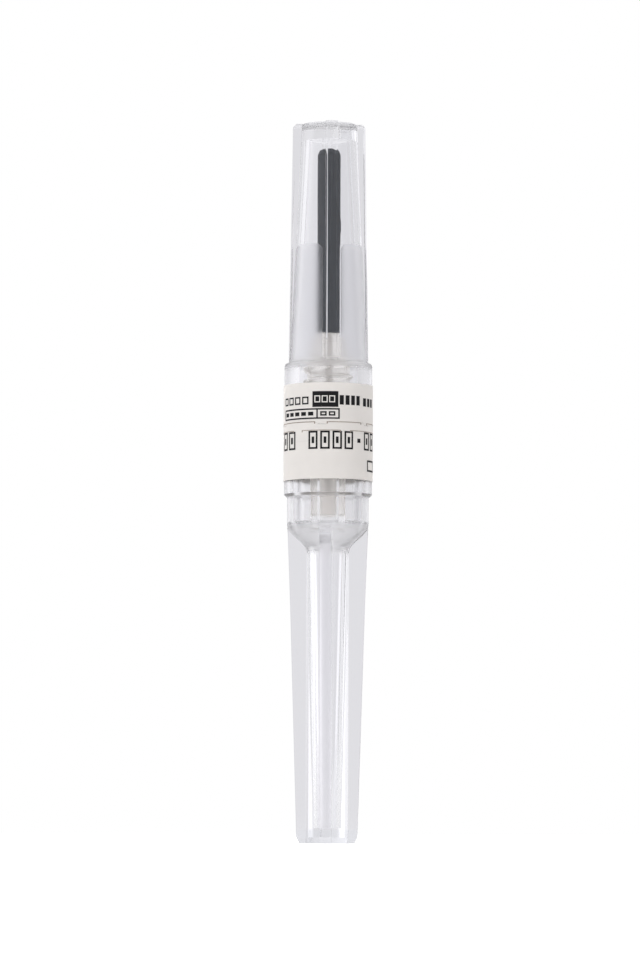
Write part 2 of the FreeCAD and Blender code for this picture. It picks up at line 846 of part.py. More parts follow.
def write_parts(doc, bodies):
    """Checks every object, then writes one STEP file for each body."""
    failed = [o.Name for o in doc.Objects if {"Invalid", "Error"} & set(o.State)]
    if failed:
        raise RuntimeError(f"these objects did not build: {failed}")
    for body in bodies:
        solid = body.Shape
        if solid.isNull() or not solid.isValid() or len(solid.Solids) != 1:
            raise RuntimeError(f"{body.Label} is not one valid solid")
    os.makedirs("parts", exist_ok=True)
    for body in bodies:
        body.Shape.exportStep(f"parts/{body.Label}.step")
        box = body.Shape.BoundBox
        print(
            f"{body.Label}: {body.Shape.Volume:.2f} mm3, {len(body.Shape.Faces)} faces, "
            f"radius {box.XMax:.2f}, z {box.ZMin:.2f} to {box.ZMax:.2f}"
        )


def main():
    doc = FreeCAD.newDocument("luer_adapter")
    size = size_sheet(doc)
    at = levels(size)
    bodies = [
        front_cap(doc, size, at),
        rear_cap(doc, size, at),
        hub(doc, size, at),
        cannula(doc, size, at),
        adhesive(doc, size, at),
        sleeve(doc, size, at),
    ]
    bodies += labels(doc, size, at)
    doc.recompute()
    write_parts(doc, bodies)


main()
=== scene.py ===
import math

import bmesh
import bpy
from mathutils import Matrix, Vector


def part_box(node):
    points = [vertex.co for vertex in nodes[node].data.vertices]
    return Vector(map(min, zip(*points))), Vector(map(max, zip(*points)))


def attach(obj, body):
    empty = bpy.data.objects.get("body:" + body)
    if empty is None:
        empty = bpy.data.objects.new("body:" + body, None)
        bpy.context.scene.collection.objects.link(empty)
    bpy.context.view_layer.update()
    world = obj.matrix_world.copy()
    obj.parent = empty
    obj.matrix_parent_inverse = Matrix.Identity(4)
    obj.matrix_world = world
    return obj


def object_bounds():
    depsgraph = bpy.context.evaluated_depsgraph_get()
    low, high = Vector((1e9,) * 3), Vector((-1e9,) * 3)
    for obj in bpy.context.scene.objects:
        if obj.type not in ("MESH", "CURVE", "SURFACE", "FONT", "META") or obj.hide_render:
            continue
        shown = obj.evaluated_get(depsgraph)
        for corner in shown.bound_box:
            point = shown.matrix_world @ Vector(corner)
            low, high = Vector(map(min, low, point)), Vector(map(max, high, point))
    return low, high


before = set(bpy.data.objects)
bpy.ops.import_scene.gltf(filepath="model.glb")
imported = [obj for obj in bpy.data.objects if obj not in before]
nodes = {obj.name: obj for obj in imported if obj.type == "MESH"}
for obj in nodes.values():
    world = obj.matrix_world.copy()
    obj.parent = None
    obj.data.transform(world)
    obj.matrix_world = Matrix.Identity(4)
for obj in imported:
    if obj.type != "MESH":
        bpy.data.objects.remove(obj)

# A luer adapter sealed in its two clear caps, standing on the closed end of the front cap.
# Sizes here are millimetres and degrees, and mm turns them into Blender's metres.

mm = 0.001  # metres
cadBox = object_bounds()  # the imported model's box, before anything is added
print("frame loaded:", ", ".join(sorted(nodes)))


# Helpers that put nodes into a material, the world or a group.

def feed(tree, socket, value):
    if isinstance(value, bpy.types.NodeSocket):
        tree.links.new(value, socket)
    else:
        socket.default_value = value


def put(tree, kind, inputs=None, **settings):
    node = tree.nodes.new(kind)
    for name, value in settings.items():
        setattr(node, name, value)
    for name, value in (inputs or {}).items():
        feed(tree, node.inputs[name], value)
    return node


def calc(tree, operation, *values):
    node = put(tree, "ShaderNodeMath", operation=operation)
    for index, value in enumerate(values):
        feed(tree, node.inputs[index], value)
    return node.outputs[0]


def blendColours(tree, factor, first, second):
    node = put(tree, "ShaderNodeMix", data_type="RGBA")
    for socket, value in zip((node.inputs[0], node.inputs[6], node.inputs[7]), (factor, first, second)):
        feed(tree, socket, value)
    return node.outputs[2]


def ramp(tree, value, stops):
    node = put(tree, "ShaderNodeValToRGB", {"Fac": value})
    elements = node.color_ramp.elements
    while len(elements) < len(stops):
        elements.new(0.5)
    for element, (position, colour) in zip(elements, stops):
        element.position = position
        element.color = (*colour, 1.0)
    return node.outputs["Color"]


# 1 where value lies between low and high, easing to 0 over soft
def between(tree, value, low, high, soft):
    up, down = (
        put(tree, "ShaderNodeMapRange", {"Value": value, "From Min": dark, "From Max": full})
        for dark, full in ((low - soft, low + soft), (high + soft, high - soft))
    )
    return calc(tree, "MULTIPLY", up.outputs["Result"], down.outputs["Result"])


# where a surface point lies on the object, in millimetres
def place(tree):
    coordinates = put(tree, "ShaderNodeTexCoord")
    scaled = put(tree, "ShaderNodeVectorMath", {0: coordinates.outputs["Object"]}, operation="SCALE")
    scaled.inputs["Scale"].default_value = 1.0 / mm
    return scaled.outputs["Vector"]


def newMaterial(name):
    material = bpy.data.materials.new(name)
    material.use_nodes = True
    tree = material.node_tree
    tree.nodes.clear()
    output = put(tree, "ShaderNodeOutputMaterial")
    shader = put(tree, "ShaderNodeBsdfPrincipled")
    tree.links.new(shader.outputs["BSDF"], output.inputs["Surface"])
    return material, tree, shader


def newGroup(name, inputs, outputs):
    tree = bpy.data.node_groups.new(name, "ShaderNodeTree")
    for socketName, kind, value in inputs:
        socket = tree.interface.new_socket(socketName, in_out="INPUT", socket_type=kind)
        if value is not None:
            socket.default_value = value
    for socketName, kind in outputs:
        tree.interface.new_socket(socketName, in_out="OUTPUT", socket_type=kind)
    return tree, put(tree, "NodeGroupInput"), put(tree, "NodeGroupOutput")


def useGroup(tree, group, inputs):
    node = put(tree, "ShaderNodeGroup", node_tree=group)
    for name, value in inputs.items():
        feed(tree, node.inputs[name], value)
    return node


number, vector = "NodeSocketFloat", "NodeSocketVector"


# Effects that several materials share.

flowGrain = {"stretch": (0.9, 0.9, 0.12), "waveScale": 0.8, "hazeScale": 2.4}


def makeFlowMarks():
    # moulded plastic: slow waves, drawn out along the axis, and a fine haze
    tree, entry, leave = newGroup(
        "flowMarks",
        [("Place", vector, None), ("Gloss", number, 0.03), ("Haze", number, 0.03), ("Waves", number, 0.4)],
        [("Roughness", number), ("Height", number)],
    )
    stretched = put(
        tree, "ShaderNodeMapping", {"Vector": entry.outputs["Place"], "Scale": flowGrain["stretch"]}
    )
    waves = put(
        tree, "ShaderNodeTexNoise",
        {"Vector": stretched.outputs[0], "Scale": flowGrain["waveScale"], "Detail": 2.0},
    )
    haze = put(
        tree, "ShaderNodeTexNoise",
        {"Vector": entry.outputs["Place"], "Scale": flowGrain["hazeScale"], "Detail": 4.0},
    )
    hazeShare = calc(tree, "MULTIPLY", haze.outputs["Fac"], entry.outputs["Haze"])
    feed(tree, leave.inputs["Roughness"], calc(tree, "ADD", entry.outputs["Gloss"], hazeShare))
    height = calc(tree, "MULTIPLY", waves.outputs["Fac"], entry.outputs["Waves"])
    feed(tree, leave.inputs["Height"], height)
    return tree


patchScale = 0.6  # of the paper's mottling


def makePaperGrain():
    # paper: short fibres as fine relief, and a faint mottling of the colour
    tree, entry, leave = newGroup(
        "paperGrain",
        [("Place", vector, None), ("Scale", number, 9.0), ("Mottle", number, 0.05)],
        [("Shade", number), ("Height", number)],
    )
    fibres = put(
        tree, "ShaderNodeTexNoise",
        {
            "Vector": entry.outputs["Place"], "Scale": entry.outputs["Scale"],
            "Detail": 6.0, "Roughness": 0.7,
        },
    )
    patches = put(
        tree, "ShaderNodeTexNoise",
        {"Vector": entry.outputs["Place"], "Scale": patchScale, "Detail": 3.0},
    )
    centred = calc(tree, "SUBTRACT", patches.outputs["Fac"], 0.5)
    feed(
        tree, leave.inputs["Shade"],
        calc(tree, "MULTIPLY_ADD", centred, entry.outputs["Mottle"], 1.0),
    )
    feed(tree, leave.inputs["Height"], fibres.outputs["Fac"])
    return tree


dustGrain = {"edge": 0.22, "core": 0.08}  # radius of a grain, and of its full part


def makeFineDust():
    # dust and powder: sparse small grains as a mask
    tree, entry, leave = newGroup(
        "fineDust",
        [("Place", vector, None), ("Scale", number, 5.0), ("Amount", number, 0.2)],
        [("Mask", number)],
    )
    cells = put(
        tree, "ShaderNodeTexVoronoi", {"Vector": entry.outputs["Place"], "Scale": entry.outputs["Scale"]}
    )
    close = put(
        tree, "ShaderNodeMapRange",
        {
            "Value": cells.outputs["Distance"],
            "From Min": dustGrain["edge"], "From Max": dustGrain["core"],
        },
    )
    feed(
        tree, leave.inputs["Mask"],
        calc(tree, "MULTIPLY", close.outputs["Result"], entry.outputs["Amount"]),
    )
    return tree


flowMarks = makeFlowMarks()
paperGrain = makePaperGrain()
fineDust = makeFineDust()
print("effects built")


# The moulded plastics.

capPlastic = {
    "tint": (0.975, 0.976, 0.985, 1.0),
    "ior": 1.49,
    "gloss": 0.04,
    "haze": 0.03,
    "waves": 0.35,  # relief of the flow marks
    "waveDepth": 0.0015,
}

bumpStrength = 0.12  # of the flow marks

frostedFaces = {"tint": (0.86, 0.86, 0.88, 1.0), "roughness": 0.42}
satinRibs = {"tint": (0.97, 0.97, 0.98, 1.0), "roughness": 0.07}
softFaces = {"tint": (0.98, 0.98, 0.985, 1.0), "roughness": 0.15}
edgeFaces = {"tint": (0.98, 0.98, 0.985, 1.0), "roughness": 0.5}
slopeFaces = {"tint": (0.98, 0.98, 0.985, 1.0), "roughness": 0.32}
ribEnds = {"tint": (0.91, 0.9, 0.93, 1.0), "roughness": 0.3}
endFaces = {"tint": (0.93, 0.94, 0.96, 1.0), "roughness": 0.12}

gripPanels = {
    "turn": 8.4,  # the rear cap is turned by this against the front cap
    "low": 58.56,
    "high": 72.99,
    "wallFoot": 58.55,
    "wallRadius": 4.7,
    "wallTaper": 1.25 / 29.45,
    "rise": 0.035,  # half of how far a panel stands proud
    "ribHalf": 0.9,
    "fade": 0.01,
}

frontRibs = {
    "half": 0.78,
    "tube": 2.72,
    "low": 0.3,
    "high": 38.0,
    "fade": 0.6,
    "outward": 0.9,  # how squarely a face looks outward, to be a rib's narrow outer face
}
softMouth = {"low": 35.0, "high": 48.0, "fade": 0.5}
closedEnd = {"low": -0.5, "high": 1.65, "fade": 0.15}
softShoulder = {"low": 35.4, "high": 38.9, "fade": 0.3}
collarFoot = {"low": 42.0, "high": 42.5, "fade": 0.08}
collarTop = {"low": 57.9, "high": 58.9, "fade": 0.15}
softCrown = {"low": 87.6, "high": 90.0, "fade": 0.15}

hubPlastic = {
    "tint": (0.92, 0.9, 0.875, 1.0),
    "ior": 1.5,
    "gloss": 0.1,
    "haze": 0.08,
    "waves": 0.3,
    "waveDepth": 0.004,
    "clear": 0.72,  # share of the light that goes through, the rest is milky
    "paintedGlow": 0.08,  # painted glow: light the hub gives off itself, which brightens it inside the caps where little light reaches
}

hubChannel = {"radius": 0.8, "tint": (0.9, 0.86, 0.84, 1.0), "roughness": 0.4}


def clearPlastic(name, look, marked=()):
    # marked holds masks, each with the tint and roughness of the faces that it covers
    material, tree, shader = newMaterial(name)
    marks = useGroup(
        tree, flowMarks,
        {"Place": place(tree), "Gloss": look["gloss"], "Haze": look["haze"], "Waves": look["waves"]},
    )
    bump = put(
        tree, "ShaderNodeBump",
        {"Strength": bumpStrength, "Distance": look["waveDepth"] * mm, "Height": marks.outputs["Height"]},
    )
    tint, rough = look["tint"], marks.outputs["Roughness"]
    for findMask, faces in marked:
        mask = findMask(tree)
        tint = blendColours(tree, mask, tint, faces["tint"])
        mixed = put(tree, "ShaderNodeMix", {0: mask, 2: rough, 3: faces["roughness"]}, data_type="FLOAT")
        rough = mixed.outputs[0]
    feed(tree, shader.inputs["Base Color"], tint)
    feed(tree, shader.inputs["Roughness"], rough)
    feed(tree, shader.inputs["Normal"], bump.outputs["Normal"])
    feed(tree, shader.inputs["Transmission Weight"], look.get("clear", 1.0))
    feed(tree, shader.inputs["IOR"], look["ior"])
    # painted glow: the plastic gives off light in its own tint, at a strength only the hub sets above 0
    feed(tree, shader.inputs["Emission Color"], look["tint"])
    feed(tree, shader.inputs["Emission Strength"], look.get("paintedGlow", 0.0))
    return material


def roundParts(tree, turn=0.0):
    # x, y, z and the distance from the axis, in a frame turned about it
    turned = put(
        tree, "ShaderNodeVectorRotate",
        {"Vector": place(tree), "Angle": math.radians(-turn)}, rotation_type="Z_AXIS",
    )
    x, y, z = put(tree, "ShaderNodeSeparateXYZ", {"Vector": turned.outputs[0]}).outputs
    squares = calc(tree, "MULTIPLY_ADD", x, x, calc(tree, "MULTIPLY", y, y))
    return x, y, z, calc(tree, "SQRT", squares)


def panelMask(tree):
    # the raised panels between the rear cap's ribs
    look = gripPanels
    x, y, z, radius = roundParts(tree, look["turn"])
    climb = calc(tree, "SUBTRACT", z, look["wallFoot"])
    wall = calc(tree, "MULTIPLY_ADD", climb, -look["wallTaper"], look["wallRadius"] + look["rise"])
    mask = calc(tree, "GREATER_THAN", radius, wall)
    for across in (x, y):
        clear = calc(tree, "GREATER_THAN", calc(tree, "ABSOLUTE", across), look["ribHalf"])
        mask = calc(tree, "MULTIPLY", mask, clear)
    return calc(tree, "MULTIPLY", mask, between(tree, z, look["low"], look["high"], look["fade"]))


def frontRibMask(tree):
    # the ribs of the front cap, from the closed end to the mouth
    look = frontRibs
    x, y, z, radius = roundParts(tree)
    nearest = calc(tree, "MINIMUM", calc(tree, "ABSOLUTE", x), calc(tree, "ABSOLUTE", y))
    mask = calc(tree, "LESS_THAN", nearest, look["half"])
    mask = calc(tree, "MULTIPLY", mask, calc(tree, "GREATER_THAN", radius, look["tube"]))
    return calc(tree, "MULTIPLY", mask, between(tree, z, look["low"], look["high"], look["fade"]))


def ribEndMask(tree):
    # the narrow outer faces of the front cap's ribs
    facing = put(tree, "ShaderNodeTexCoord").outputs["Normal"]
    across = put(tree, "ShaderNodeSeparateXYZ", {"Vector": facing}).outputs
    x, y, z, radius = roundParts(tree)
    outward = calc(tree, "MULTIPLY_ADD", x, across[0], calc(tree, "MULTIPLY", y, across[1]))
    straight = calc(tree, "GREATER_THAN", calc(tree, "DIVIDE", outward, radius), frontRibs["outward"])
    return calc(tree, "MULTIPLY", straight, frontRibMask(tree))


def bandMask(look):
    # a band of heights, in and out
    return lambda tree: between(tree, roundParts(tree)[2], look["low"], look["high"], look["fade"])


def channelMask(tree):
    # the wall of the way through the hub
    return calc(tree, "LESS_THAN", roundParts(tree)[3], hubChannel["radius"])


frontZones = [
    (bandMask(softMouth), softFaces),
    (bandMask(softShoulder), slopeFaces),
    (bandMask(collarFoot), slopeFaces),
    (frontRibMask, satinRibs),
    (ribEndMask, ribEnds),
    (bandMask(closedEnd), endFaces),
]
rearZones = [
    (panelMask, frostedFaces),
    (bandMask(collarTop), edgeFaces),
    (bandMask(softCrown), edgeFaces),
]
frontCapPlastic = clearPlastic("frontCapPlastic", capPlastic, frontZones)
rearCapPlastic = clearPlastic("rearCapPlastic", capPlastic, rearZones)
hubMaterial = clearPlastic("hubPlastic", hubPlastic, [(channelMask, hubChannel)])


# Steel, resin and rubber.

steelTube = {
    "tint": (0.58, 0.57, 0.56),
    "dark": (0.42, 0.41, 0.4),
    "gloss": 0.2,
    "lines": 26.0,  # fineness of the drawing lines
    "stretch": (1.0, 1.0, 0.03),
    "darkTo": 0.35,  # where along the noise the dark tone ends and the plain one starts
    "tintFrom": 0.65,
    "lineGloss": 0.15,
}
bondResin = {
    "tint": (0.86, 0.89, 0.95, 1.0),
    "ior": 1.5,
    "gloss": 0.08,
    "haze": 0.05,
    "waves": 0.2,
    "waveDepth": 0.004,
}
sleeveRubber = {
    "tint": (0.013, 0.019, 0.029),
    "worn": (0.02, 0.028, 0.04),
    "dust": (0.09, 0.1, 0.13),
    "dustScale": 5.0,
    "dustAmount": 0.5,
    "streakScale": 1.6,
    "stretch": (1.0, 1.0, 0.15),
    "tintTo": 0.4,  # where along the noise the plain tone ends and the worn one starts
    "wornFrom": 0.75,
    "gloss": 0.5,
    "wornGloss": 0.15,
    "shine": 0.25,  # level of the reflection
    "grain": 14.0,
    "relief": 0.25,
    "grainDepth": 0.01,
}


def makeSteel():
    look = steelTube
    material, tree, shader = newMaterial("drawnSteel")
    drawn = put(tree, "ShaderNodeMapping", {"Vector": place(tree), "Scale": look["stretch"]})
    lines = put(
        tree, "ShaderNodeTexNoise", {"Vector": drawn.outputs[0], "Scale": look["lines"], "Detail": 3.0}
    )
    stops = [(look["darkTo"], look["dark"]), (look["tintFrom"], look["tint"])]
    tint = ramp(tree, lines.outputs["Fac"], stops)
    rough = calc(tree, "MULTIPLY_ADD", lines.outputs["Fac"], look["lineGloss"], look["gloss"])
    feed(tree, shader.inputs["Base Color"], tint)
    feed(tree, shader.inputs["Metallic"], 1.0)
    feed(tree, shader.inputs["Roughness"], rough)
    return material


def makeRubber():
    look = sleeveRubber
    material, tree, shader = newMaterial("sleeveRubber")
    where = place(tree)
    streaks = put(tree, "ShaderNodeMapping", {"Vector": where, "Scale": look["stretch"]})
    worn = put(
        tree, "ShaderNodeTexNoise",
        {"Vector": streaks.outputs[0], "Scale": look["streakScale"], "Detail": 4.0},
    )
    stops = [(look["tintTo"], look["tint"]), (look["wornFrom"], look["worn"])]
    base = ramp(tree, worn.outputs["Fac"], stops)
    dust = useGroup(
        tree, fineDust, {"Place": where, "Scale": look["dustScale"], "Amount": look["dustAmount"]}
    )
    tint = blendColours(tree, dust.outputs["Mask"], base, (*look["dust"], 1.0))
    grain = put(tree, "ShaderNodeTexNoise", {"Vector": where, "Scale": look["grain"], "Detail": 4.0})
    bump = put(
        tree, "ShaderNodeBump",
        {"Strength": look["relief"], "Distance": look["grainDepth"] * mm, "Height": grain.outputs["Fac"]},
    )
    rough = calc(tree, "MULTIPLY_ADD", worn.outputs["Fac"], look["wornGloss"], look["gloss"])
    feed(tree, shader.inputs["Base Color"], tint)
    feed(tree, shader.inputs["Roughness"], rough)
    feed(tree, shader.inputs["Specular IOR Level"], look["shine"])
    feed(tree, shader.inputs["Normal"], bump.outputs["Normal"])
    return material


steelMaterial = makeSteel()
bondMaterial = clearPlastic("bondResin", bondResin)
rubberMaterial = makeRubber()


# Paper, ink, and the painted shadow along the label's slits.

labelPaper = {
    "tint": (0.865, 0.835, 0.793),
    "seam": 48.62,  # height of the seam between the caps, painted onto the paper as a line of shade
    "seamHalf": 0.02,
    "seamFade": 0.05,
    "seamShade": 0.1,
    "grain": 9.0,
    "grainDepth": 0.01,
    "relief": 0.3,
    "mottle": 0.07,
    "gloss": 0.75,
    "throughLight": 0.3,  # share of the light that the paper lets through
}

printInk = {"tint": (0.008, 0.008, 0.009), "gloss": 0.6, "shine": 0.15, "grain": 9.0, "mottle": 0.5}
# painted shadow: the brownish tone of the dark lines along the label's slits
slitShadeTone = {"tint": (0.3, 0.25, 0.21), "gloss": 0.8, "shine": 0.15, "grain": 9.0, "mottle": 0.5}


def makePaper():
    look = labelPaper
    material, tree, shader = newMaterial("labelPaper")
    where = place(tree)
    grain = useGroup(tree, paperGrain, {"Place": where, "Scale": look["grain"], "Mottle": look["mottle"]})
    height = put(tree, "ShaderNodeSeparateXYZ", {"Vector": where}).outputs["Z"]
    # painted shade: the paper is darkened in a thin line along the seam between the caps behind it
    low, high = look["seam"] - look["seamHalf"], look["seam"] + look["seamHalf"]
    seam = between(tree, height, low, high, look["seamFade"])
    shade = calc(tree, "MULTIPLY_ADD", seam, -look["seamShade"], grain.outputs["Shade"])
    tone = put(tree, "ShaderNodeVectorMath", {0: look["tint"]}, operation="SCALE")
    feed(tree, tone.inputs["Scale"], shade)
    bump = put(
        tree, "ShaderNodeBump",
        {
            "Strength": look["relief"], "Distance": look["grainDepth"] * mm,
            "Height": grain.outputs["Height"],
        },
    )
    feed(tree, shader.inputs["Base Color"], tone.outputs["Vector"])
    feed(tree, shader.inputs["Roughness"], look["gloss"])
    feed(tree, shader.inputs["Transmission Weight"], look["throughLight"])
    feed(tree, shader.inputs["Normal"], bump.outputs["Normal"])
    return material


# a flat material with the paper's grain: ink for the print, and painted shadow for the slits
def makeInkAndShade(name, look):
    material, tree, shader = newMaterial(name)
    grain = useGroup(
        tree, paperGrain, {"Place": place(tree), "Scale": look["grain"], "Mottle": look["mottle"]}
    )
    tone = put(tree, "ShaderNodeVectorMath", {0: look["tint"]}, operation="SCALE")
    feed(tree, tone.inputs["Scale"], grain.outputs["Shade"])
    feed(tree, shader.inputs["Base Color"], tone.outputs["Vector"])
    feed(tree, shader.inputs["Roughness"], look["gloss"])
    feed(tree, shader.inputs["Specular IOR Level"], look["shine"])
    return material


paperMaterial = makePaper()
inkMaterial = makeInkAndShade("printInk", printInk)
# the slits' painted shadow
slitShadeMaterial = makeInkAndShade("slitShadow", slitShadeTone)
print("materials built")


def dress(material, *names):
    for name in names:
        piece = nodes[name]
        if not piece.material_slots:
            piece.data.materials.append(material)
        for slot in piece.material_slots:
            slot.material = material


dress(frontCapPlastic, "front_cap")
dress(rearCapPlastic, "rear_cap")
dress(hubMaterial, "hub")
dress(steelMaterial, "cannula")
dress(bondMaterial, "adhesive")
dress(rubberMaterial, "sleeve")
dress(paperMaterial, "label_lower", "label_upper")


# Print on the label: plain blocks, frames and bars, laid on the paper as thin curved films.

labelFace = {
    "radius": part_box("label_upper")[1].x / mm,
    "facing": -86.2,  # the side that faces the camera, in degrees about Z
    "film": 0.012,  # thickness of ink
    "step": 3.0,  # degrees a film's facet spans at most
}


def addFilm(mesh, left, right, low, high, lift=0.0):
    # a block of ink between two angles and two heights, curved with the label
    count = max(1, math.ceil((right - left) / labelFace["step"]))
    inner = (labelFace["radius"] + lift) * mm
    outer = inner + labelFace["film"] * mm
    rings = []
    for index in range(count + 1):
        angle = math.radians(labelFace["facing"] + left + (right - left) * index / count)
        across = Vector((math.cos(angle), math.sin(angle), 0))
        rings.append([
            mesh.verts.new(across * radius + Vector((0, 0, height * mm)))
            for radius, height in ((inner, low), (outer, low), (outer, high), (inner, high))
        ])
    for first, second in zip(rings, rings[1:]):
        for corner in range(4):
            following = (corner + 1) % 4
            mesh.faces.new((first[corner], second[corner], second[following], first[following]))
    mesh.faces.new(rings[0])
    mesh.faces.new(reversed(rings[-1]))


def addFrame(mesh, left, right, low, high, stroke, lift=0.0):
    # a block's outline, with strokes of one width in millimetres
    side = math.degrees(stroke / labelFace["radius"])
    addFilm(mesh, left, right, low, low + stroke, lift)
    addFilm(mesh, left, right, high - stroke, high, lift)
    addFilm(mesh, left, left + side, low + stroke, high - stroke, lift)
    addFilm(mesh, right - side, right, low + stroke, high - stroke, lift)


def finishPiece(name, mesh, material, body):
    bmesh.ops.recalc_face_normals(mesh, faces=mesh.faces)
    data = bpy.data.meshes.new(name)
    mesh.to_mesh(data)
    mesh.free()
    piece = bpy.data.objects.new(name, data)
    bpy.context.scene.collection.objects.link(piece)
    piece.data.materials.append(material)
    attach(piece, body)
    return piece


upperPrint = {
    # rows: left and right in degrees, how many, low, high, and the share of its room each fills
    "frames": (-72.0, -23.5, 4, 53.1, 54.05, 0.78),
    "block": (-20.7, 12.8, 52.75, 54.67),
    "blocks": (14.5, 46.5, 4, 53.05, 54.2, 0.7),
    "smallBlocks": (50.5, 78.0, 3, 53.0, 54.0, 0.7),
    "border": (-72.0, 14.7, 51.3, 52.6),
    "divider": -15.4,
    "leftBlocks": (-68.0, -16.4, 5, 51.72, 52.18, 0.7),  # inside the border, left of the divider
    "rightFrames": (-10.4, 11.7, 2, 51.68, 52.22, 0.75),
    "light": (-18.0, 10.5, 3, 53.3, 54.15, 0.8),  # pale outlines on the block
    "lightStroke": 0.12,
    "stroke": 0.18,
}

lowerPrint = {
    "row": (-26.0, 84.0, 7, 47.65, 49.85, 0.78),
    "dot": 4,  # place in the row where a small block stands
    "dotSide": 0.5,
    "core": (48.35, 49.15),  # the block inside each frame of the row
    "coreInset": 0.36,  # share of the frame's width on each side of it
    "end": (-78.0, -43.0, 2, 47.65, 49.85, 0.78),
    "mark": (60.0, 84.0, 45.1, 46.5),
    "stroke": 0.22,
}


def spread(row):
    # evenly spaced stretches between two angles, with the heights of the row
    left, right, count, low, high, share = row
    room = (right - left) / count
    return [(left + room * i, left + room * (i + share), low, high) for i in range(count)]


def printUpper():
    look = upperPrint
    mesh = bmesh.new()
    for key in ("frames", "rightFrames"):
        for patch in spread(look[key]):
            addFrame(mesh, *patch, look["stroke"])
    for key in ("blocks", "smallBlocks", "leftBlocks"):
        for patch in spread(look[key]):
            addFilm(mesh, *patch)
    addFilm(mesh, *look["block"])
    left, right, low, high = look["border"]
    addFrame(mesh, left, right, low, high, look["stroke"])
    side = math.degrees(look["stroke"] / labelFace["radius"])
    addFilm(mesh, look["divider"], look["divider"] + side, low + look["stroke"], high - look["stroke"])
    return finishPiece("print_upper", mesh, inkMaterial, "rear_cap_body")


def printLight():
    look = upperPrint
    mesh = bmesh.new()
    for patch in spread(look["light"]):
        addFrame(mesh, *patch, look["lightStroke"], labelFace["film"])
    return finishPiece("print_light", mesh, paperMaterial, "rear_cap_body")


def addDot(mesh, start, end, low, high):
    # a small square block in the middle of a patch
    look = lowerPrint
    half = math.degrees(look["dotSide"] / labelFace["radius"]) / 2
    middle, foot = (start + end) / 2, (low + high - look["dotSide"]) / 2
    addFilm(mesh, middle - half, middle + half, foot, foot + look["dotSide"])


def printLower():
    look = lowerPrint
    mesh = bmesh.new()
    for key in ("row", "end"):
        for index, (start, end, low, high) in enumerate(spread(look[key])):
            if index == look["dot"]:
                addDot(mesh, start, end, low, high)
                continue
            addFrame(mesh, start, end, low, high, look["stroke"])
            inset = (end - start) * look["coreInset"]
            addFilm(mesh, start + inset, end - inset, *look["core"])
    addFrame(mesh, *look["mark"], look["stroke"])
    return finishPiece("print_lower", mesh, inkMaterial, "front_cap_body")


# painted shadow along the slits of the tear: thin brownish films laid on the paper, each end turning down
slitShadeFilms = {
    "height": 0.08,
    "hook": 0.26,  # how far each end turns down
    "hookSpan": 1.3,  # degrees
    "lift": 0.003,  # over the paper, so that a mark that crosses the print stays whole
    "rows": [
        (50.98, [(-84.0, -17.0), (-2.0, 47.0), (58.0, 84.0)]),  # along the tear
        (49.97, [(-84.0, -50.0), (-36.0, 16.0), (29.0, 84.0)]),
    ],
}


# lays the painted shadow films along the slits
def paintSlitShade():
    look = slitShadeFilms
    mesh = bmesh.new()
    for top, stretches in look["rows"]:
        for left, right in stretches:
            addFilm(mesh, left, right, top - look["height"], top, look["lift"])
            for start in (left, right - look["hookSpan"]):
                end, foot = start + look["hookSpan"], top - look["hook"]
                addFilm(mesh, start, end, foot, top - look["height"], look["lift"])
    return finishPiece("slit_painted_shade", mesh, slitShadeMaterial, "front_cap_body")


printUpper()
printLight()
printLower()
paintSlitShade()
print("label printed")


# Studio: a pale floor, and a white sky that shows lit and shaded stretches to the clear plastic.

studio = {
    "turn": 3.8,  # degrees, so that one lit corner stands on each side of the camera
    # brightness by how steeply a ray climbs: straight on to a side, beside it, and at a corner
    "straight": [(0.0, 0.755), (0.09, 0.76), (0.14, 0.73), (0.3, 0.9), (0.5, 1.15)],
    "beside": [(0.0, 1.2), (0.05, 1.2), (0.09, 1.0), (0.13, 0.78), (0.3, 0.9), (0.5, 1.15)],
    "corner": [(0.0, 0.8), (0.07, 0.93), (0.14, 0.8), (0.3, 0.9), (0.5, 1.15)],
    "besideFrom": (16.0, 25.0),  # degrees off straight
    "cornerFrom": (31.0, 38.0),
    "leftLift": 0.2,  # how much brighter the left is than the middle, and the right darker
    "cast": (1.0, 0.995, 1.025),
    "floorColour": (0.63, 0.63, 0.63, 1.0),
    "floorGlow": 0.42,
    "glassShare": 0.1,  # how much of that glow the clear plastic and the steel show
    "floorRadius": 1.5,  # metres
    "floorDrop": 0.02,  # below the part, so that their faces don't meet
}


